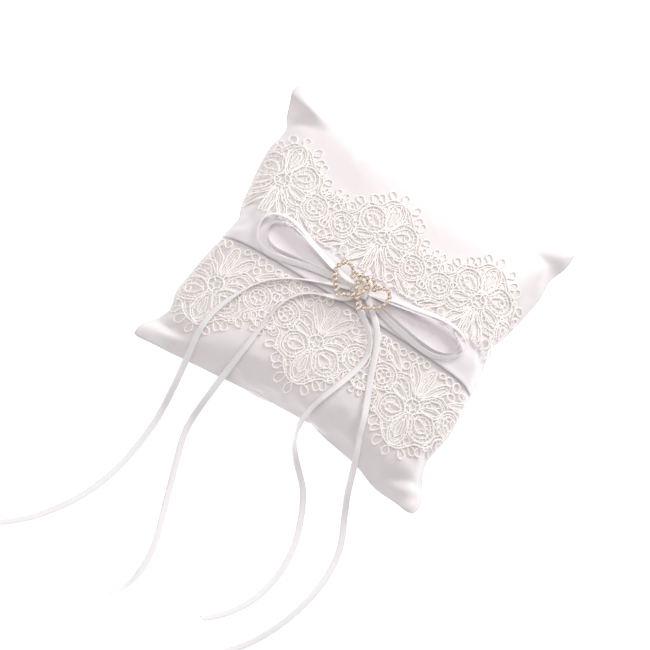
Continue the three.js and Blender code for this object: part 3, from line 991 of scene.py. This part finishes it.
def picots(drawing, edge):
    """Long open loops that stand out from the scalloped edge."""
    total = len(edge)
    for i in range(PICOTS):
        at = round((i + 0.5) * total / PICOTS)
        a = edge[max(0, at - 2)]
        b = edge[min(total - 1, at + 2)]
        angle = math.degrees(math.atan2(b[0] - a[0], -(b[1] - a[1])))
        u, v = edge[at]
        size, half = (4.9, 1.7) if 1 < i < PICOTS - 2 else (3.2, 1.35)
        drawing.loop(leaf(u, v, size, half, angle, 18), THIN * 1.2)


def lace_motif():
    """The motif's ground, and the rings and picots at its edges."""
    drawing = LaceDrawing()
    edging = LaceDrawing()
    drawing.loop(circle(0, 0, 3.5))
    drawing.loop(circle(0, 0, 1.6), THIN)
    drawing.spokes(0, 0, 1.6, 3.5, 5, CORD, math.pi / 2)
    drawing.double_leaf(0, 3.4, 16.0, 4.3, 90)
    drawing.loop(leaf(0, 6.8, 8.8, 1.5, 90), THIN)
    drawing.double_leaf(0, -4.4, 15.4, 2.5, -90)
    for side in (-1, 1):
        half_motif(drawing, edging, side)
    picots(edging, scallop(drawing))
    return drawing.threads, edging.threads


def tie_bars(threads, dice, count):
    """Short bars that hold neighbouring threads together across the gaps."""
    points = [(p, i) for i, (line, _, _) in enumerate(threads) for p in line[::2]]
    bars = []
    while len(bars) < count:
        (u, v), mine = dice.choice(points)
        best = None
        for (a, b), other in points:
            if other == mine:
                continue
            gap = math.hypot(a - u, b - v)
            if TIE_REACH[0] < gap < TIE_REACH[1] and (best is None or gap < best[0]):
                best = (gap, a, b)
        if best:
            bars.append(([(u, v), (best[1], best[2])], False, BAR))
    return bars


def densify(points, closed):
    """A stitch-length polyline through the points."""
    ring = [*points, points[0]] if closed else list(points)
    out = []
    for a, b in zip(ring, ring[1:]):
        count = max(1, round(math.dist(a, b) / STITCH_STEP))
        for i in range(count):
            t = i / count
            out.append((a[0] + (b[0] - a[0]) * t, a[1] + (b[1] - a[1]) * t))
    out.append(ring[-1])
    return out


def wander(x, y, seed):
    """A small smooth shift, so that no two motifs are quite the same."""
    return 0.22 * math.sin(x * 0.61 + y * 0.37 + seed) + 0.14 * math.sin(x * 1.7 - y * 1.3 + 2.3 * seed)


def draped_threads(name, motif, hub_y, outward, cut_y, over_band, seed):
    """A motif's threads repeated along the strip and laid on the cover, as one mesh."""
    sides = {}
    curve = new_curve(name, bevel_depth=MM, bevel_resolution=1, use_fill_caps=True)
    for centre in MOTIF_CENTRES:
        for points, closed, radius in motif:
            run = []
            runs = []
            for i, (u, v) in enumerate(densify(points, closed)):
                x = centre + u
                y = hub_y + outward * v
                x += wander(u + centre, v, seed)
                y += wander(v, u + centre, seed + 1)
                key = round(y)
                if key not in sides:
                    sides[key] = (seam_x(key * MM, -1) / MM, seam_x(key * MM, 1) / MM)
                left, right = sides[key]
                inside = left + 0.7 < x < right - 0.7 and (y - cut_y) * outward > 0
                over = max(0.0, min(1.0, (14 - y) / 4)) if over_band else 0.0
                lift = 0.12 + radius + 0.3 * (radius == CORD) + 0.85 * over
                place = above(x * MM, y * MM, lift * MM) if inside else None
                if place is None:
                    if len(run) > 2:
                        runs.append(run)
                    run = []
                    continue
                rope = 1.2 if i % 2 else 0.84
                run.append((place, radius * rope))
            whole = closed and not runs
            if len(run) > 1:
                runs.append(run)
            for run in runs:
                if whole:
                    run = run[:-1]
                for point, (_, thick) in zip(add_spline(curve, [p for p, _ in run], whole), run):
                    point.radius = thick
    return settle(name, add_object(name, curve))


def lace_strip(name, node_name, hub_y, outward, cut_y, over_band, seed):
    ground, loops = lace_motif()
    ground = ground + tie_bars(ground, random.Random(seed), TIE_BARS)
    lace = draped_threads(name + "_strip", ground, hub_y, outward, cut_y, over_band, seed)
    edging = draped_threads(name + "_picots", loops, hub_y, outward, cut_y, over_band, seed)
    finish_piece(lace, "lace", lace_thread, node_name)
    finish_piece(edging, "lace", lace_thread)


lace_strip("lace_near", "lace_near", NEAR_HUB_Y, -1, -9.0, False, 5)
lace_strip("lace_far", "lace_far", FAR_HUB_Y, 1, 6.6, True, 11)


# ---------------------------------------------------------------- ribbon bow

BOW_BASE = 1.25
# how high a loop arches off the band, in millimetres, at shares of its length from the knot and back
BOW_ARCH = [(0, 0), (0.12, 1.2), (0.28, 2.8), (0.42, 1.6), (0.52, 0.3), (0.64, 0.2), (0.8, 0.9), (1, 0)]
# points (x, y) in millimetres with the turn from flat, from the knot out and back
BOW_LOOPS = {
    "bow_loop_left_outer": [
        (-3, -1.6, 24), (-9, -1.0, 28), (-17.3, 0.6, 32), (-27.9, 3.9, 34), (-35.2, 6.4, 36),
        (-41.9, 8.2, 40),
        (-48.0, 8.4, 50), (-53.0, 6.2, 64), (-54.8, 2.0, 76), (-53.8, -3.4, 84), (-51.2, -8.0, 78),
        (-47.2, -10.0, 64),
        (-42.6, -10.2, 50), (-36.4, -9.0, 42), (-28.2, -6.8, 38), (-19.4, -5.0, 40), (-10, -3.6, 46),
        (-3, -3.2, 50),
    ],
    "bow_loop_left_inner": [
        (-3, -2.0, 40), (-10, -1.8, 46), (-18.5, -0.2, 50), (-28.5, 2.6, 54), (-37.4, 5.2, 60),
        (-44.0, 6.0, 68),
        (-49.0, 4.2, 78), (-50.4, 0.2, 86), (-48.2, -4.4, 84), (-42.4, -6.8, 74), (-33.0, -5.9, 68),
        (-22.0, -4.4, 66), (-11, -3.2, 62), (-3, -2.8, 56),
    ],
    "bow_loop_right_outer": [
        (3, -1.4, 152), (9, 0.2, 150), (16.5, 2.4, 148), (24.2, 4.0, 146), (32.0, 5.6, 144),
        (39.6, 6.8, 140),
        (46.6, 6.6, 130), (52.0, 4.6, 112), (54.0, 0.8, 100), (52.8, -3.4, 96), (49.2, -7.0, 106),
        (43.6, -9.8, 120),
        (36.3, -10.3, 132), (29.7, -9.6, 138), (23.4, -8.8, 142), (16.0, -7.2, 140), (9.0, -5.4, 136),
        (3, -3.9, 132),
    ],
    "bow_loop_right_inner": [
        (3, -1.8, 140), (10, -0.9, 134), (18.5, 0.8, 130), (27.5, 2.5, 126), (35.5, 4.2, 120),
        (43.0, 4.6, 110),
        (48.8, 2.4, 98), (50.4, -1.6, 93), (48.4, -5.2, 94), (43.0, -7.6, 100), (35.0, -8.0, 108),
        (26.5, -7.2, 114),
        (17.5, -5.8, 118), (9.5, -4.4, 122), (3, -3.4, 124),
    ],
}


def make_bow_loop(name):
    raised = []
    points = BOW_LOOPS[name]
    for i, (x, y, turn) in enumerate(points):
        lift = BOW_BASE + 1.5 * abs(math.sin(math.radians(turn))) + 0.15
        place = above(x * MM, y * MM, 0)
        arch = between(BOW_ARCH, i / (len(points) - 1))
        raised.append((x * MM, y * MM, place.z + (lift + arch) * MM, turn))
    loop = ribbon(name + "_ribbon", smooth_route(raised, RIBBON_STEP))
    finish_piece(loop, "ribbon_satin", ribbon_satin, name)


for loop_name in BOW_LOOPS:
    make_bow_loop(loop_name)


# ---------------------------------------------------------------- tails on the cover

LACE_END_Y = -57 * MM
END_SLANTS = {
    "ribbon_tail_1": math.radians(40), "ribbon_tail_2": math.radians(-45), "ribbon_tail_3": math.radians(42),
    "ribbon_tail_4": math.radians(-38),
}


def rest_on_cover(line):
    """Lifts a tail's line clear of the cover and of the lace under it, without a sharp step."""
    heights = [p[2] for p in line]
    floor_heights = []
    for x, y, z, turn in line:
        place = above(x, y, 0)
        edge = RIBBON_WIDTH / 2 * abs(math.sin(math.radians(turn)))
        gap = (1.35 if y > LACE_END_Y else 0.4) * MM + edge
        floor_heights.append(place.z + gap if place else 0.0)
    for _ in range(4):
        heights = [max(a, b) for a, b in zip(heights, floor_heights)]
        padded = [heights[0], *heights, heights[-1]]
        heights = [(a + 2 * b + c) / 4 for a, b, c in zip(padded, padded[1:], padded[2:])]
    return [(x, y, z, turn) for (x, y, _, turn), z in zip(line, heights)]


def make_tail(name):
    points = [tuple(c * MM for c in (*p, LAID)[:3]) for p in TAIL_ROUTES[name]]
    line = smooth_route(points, RIBBON_STEP)
    total = route_length(line)
    gone = 0.0
    turned = []
    previous = line[0]
    for p in line:
        gone += math.dist(previous, p)
        previous = p
        turned.append((*p, between(TAIL_TURNS[name], gone / total)))
    turned = rest_on_cover(turned)
    path = [p[:3] for p in turned]
    end = Vector(path[-1])
    way = end - Vector(path[-2])
    tail = ribbon(name + "_ribbon", [*turned, (*(end + way * 2), turned[-1][3])])
    slant_end(tail, end, way, END_SLANTS[name])
    finish_piece(tail, "ribbon_satin", ribbon_satin, name)


for tail_name in TAIL_ROUTES:
    make_tail(tail_name)


# ---------------------------------------------------------------- knot

KNOT_LOW, KNOT_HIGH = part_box("bow_knot")
CORE_SHARE = Vector((0.8, 0.9, 0.86))
# the turns of ribbon round the knot: (place across it in millimetres, lean in degrees, size)
KNOT_TURNS = ((-1.9, 8, 0.97), (2.0, -9, 0.98), (0.1, 4, 1.06))
TURN_POINTS = 44


def rounded_square(value):
    """Squares off a cosine or a sine, so that a turn lies flat on the knot."""
    return math.copysign(abs(value) ** 0.75, value)


def join_parts(name, parts):
    bm = bmesh.new()
    for part in parts:
        bm.from_mesh(part.data)
        old = part.data
        bpy.data.objects.remove(part)
        bpy.data.meshes.remove(old)
    bmesh.ops.recalc_face_normals(bm, faces=bm.faces)
    return add_object(name, mesh_from(name, bm))


def make_knot():
    """Ribbon wound round the middle of the bow in overlapping turns, over a packed core."""
    middle = (KNOT_LOW + KNOT_HIGH) / 2
    half = (KNOT_HIGH - KNOT_LOW) / 2
    bm = bmesh.new()
    bmesh.ops.create_uvsphere(bm, u_segments=28, v_segments=18, radius=1.0)
    for vert in bm.verts:
        crease = 1 + 0.06 * math.sin(vert.co.x * 11 + vert.co.y * 2)
        vert.co = middle + vert.co * half * CORE_SHARE * crease
    parts = [add_object("knot_core", mesh_from("knot_core", bm))]
    for offset, lean, size in KNOT_TURNS:
        ring = []
        for i in range(TURN_POINTS):
            a = 2 * math.pi * i / TURN_POINTS
            y = rounded_square(math.cos(a)) * half.y * size
            z = rounded_square(math.sin(a)) * half.z * size
            x = offset * MM + math.tan(math.radians(lean)) * y
            ring.append((middle.x + x, middle.y + y, middle.z + z))
        section = ribbon_section()
        curve = new_curve("knot_turn", bevel_mode="OBJECT", bevel_object=section, twist_mode="MINIMUM")
        add_spline(curve, ring, True)
        parts.append(settle("knot_turn", add_object("knot_turn", curve)))
        remove_section(section)
    knot = join_parts("bow_knot_wraps", parts)
    finish_piece(knot, "ribbon_satin", ribbon_satin, "bow_knot")


make_knot()


# ---------------------------------------------------------------- double heart

STONE_NODES = sorted(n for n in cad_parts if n.startswith("stone_"))
CLAW_OUT = 0.8
CLAW_UP = 0.58
CLAW_RADIUS = 0.2 * MM
# cups closer than this on the same heart are joined by a bar
BAR_REACH = 2.9 * MM
BAR_RADIUS = 0.42 * MM
BAR_DROP = 0.25 * MM
STONE_LEAN = 0.12
CUP_PROFILE = (
    (0.0, -0.55), (0.8, -0.52), (1.0, -0.3), (1.06, 0.1), (1.16, 0.34), (1.1, 0.52), (0.9, 0.58),
    (0.74, 0.46), (0.7, 0.2), (0.0, 0.1),
)
STONE_PROFILE = ((0.0, -0.12), (0.68, 0.3), (0.71, 0.38), (0.47, 0.66), (0.0, 0.7))


def spun(profile, steps, smooth, turn=0.0):
    """A round body about Z from (radius, height) points in millimetres."""
    bm = bmesh.new()
    verts = [bm.verts.new((r * MM, 0, z * MM)) for r, z in profile]
    edges = [bm.edges.new(pair) for pair in zip(verts, verts[1:])]
    bmesh.ops.spin(
        bm, geom=[*verts, *edges], cent=(0, 0, 0), axis=(0, 0, 1), angle=2 * math.pi, steps=steps,
        use_merge=True)
    bmesh.ops.remove_doubles(bm, verts=bm.verts, dist=0.000004)
    bmesh.ops.recalc_face_normals(bm, faces=bm.faces)
    bmesh.ops.rotate(bm, verts=bm.verts, cent=(0, 0, 0), matrix=Matrix.Rotation(turn, 3, "Z"))
    return mesh_from("spun", bm, smooth)


def stone_centre(name):
    low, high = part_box(name)
    return (low + high) / 2


def make_stones(dice):
    for name in STONE_NODES:
        centre = stone_centre(name)
        mesh = spun(STONE_PROFILE, 10, False, dice.uniform(0, math.pi))
        lean_x = Matrix.Rotation(dice.uniform(-STONE_LEAN, STONE_LEAN), 4, "X")
        lean_y = Matrix.Rotation(dice.uniform(-STONE_LEAN, STONE_LEAN), 4, "Y")
        mesh.transform(Matrix.Translation(centre) @ lean_x @ lean_y)
        stone = add_object(name.replace("stone", "crystal"), mesh)
        finish_piece(stone, "crystal", crystal, name)


def make_heart_casting():
    """Cups joined by short bars, each with four claws over its stone."""
    cup = spun(CUP_PROFILE, 16, True)
    bm = bmesh.new()
    centres = {name: stone_centre(name) for name in STONE_NODES}
    for centre in centres.values():
        before = len(bm.verts)
        bm.from_mesh(cup)
        bm.verts.ensure_lookup_table()
        bmesh.ops.translate(bm, verts=bm.verts[before:], vec=centre)
        for i in range(4):
            a = math.radians(45 + 90 * i)
            place = centre + Vector((*polar(0, 0, CLAW_OUT, a), CLAW_UP)) * MM
            claw = bmesh.ops.create_icosphere(
                bm, subdivisions=1, radius=CLAW_RADIUS, matrix=Matrix.Translation(place))
            bmesh.ops.scale(bm, verts=claw["verts"], vec=(1, 1, 0.8), space=Matrix.Translation(-place))
    names = list(centres)
    for i, first in enumerate(names):
        for second in names[i + 1:]:
            a, b = centres[first], centres[second]
            if first[:8] == second[:8] and (b - a).length < BAR_REACH:
                way = (b - a).to_track_quat("Z", "Y").to_matrix().to_4x4()
                place = Matrix.Translation((a + b) / 2 - Vector((0, 0, BAR_DROP))) @ way
                bmesh.ops.create_cone(
                    bm, cap_ends=True, segments=8, radius1=BAR_RADIUS, radius2=BAR_RADIUS,
                    depth=(b - a).length, matrix=place)
    casting = add_object("double_heart_casting", mesh_from("double_heart_casting", bm))
    finish_piece(casting, "heart_alloy", heart_alloy, "double_heart_frame")
    bpy.data.meshes.remove(cup)


make_heart_casting()
make_stones(random.Random(3))


# ---------------------------------------------------------------- stage

def make_floor():
    bm = bmesh.new()
    bmesh.ops.create_grid(bm, x_segments=1, y_segments=1, size=4)
    floor = add_object("floor", mesh_from("floor", bm))
    material, _, shader = new_material("pale_floor")
    fill(shader, {
        "Base Color": (0.9, 0.9, 0.9, 1), "Roughness": 0.9,
        "Emission Color": (1, 1, 1, 1), "Emission Strength": 0.55,
    })
    floor.data.materials.append(material)


LIGHT_AIM = Vector((0, 0, 0.02))


def add_light(name, place, size, power):
    data = bpy.data.lights.new(name, "AREA")
    data.energy = power
    data.size = size
    light = add_object(name, data)
    turn = (LIGHT_AIM - Vector(place)).to_track_quat("-Z", "Y").to_matrix().to_4x4()
    light.matrix_world = Matrix.Translation(Vector(place)) @ turn


def light_scene():
    add_light("key_light", (0.5, 1.25, 0.95), 0.7, 16.5)
    add_light("top_light", (-0.5, 0.1, 1.6), 1.0, 8)
    world = bpy.data.worlds.new("studio")
    bpy.context.scene.world = world
    world.use_nodes = True
    fill(world.node_tree.nodes["Background"], {"Color": (1, 1, 1, 1), "Strength": 0.47})
    bpy.context.scene.view_settings.view_transform = "Standard"


make_floor()
light_scene()
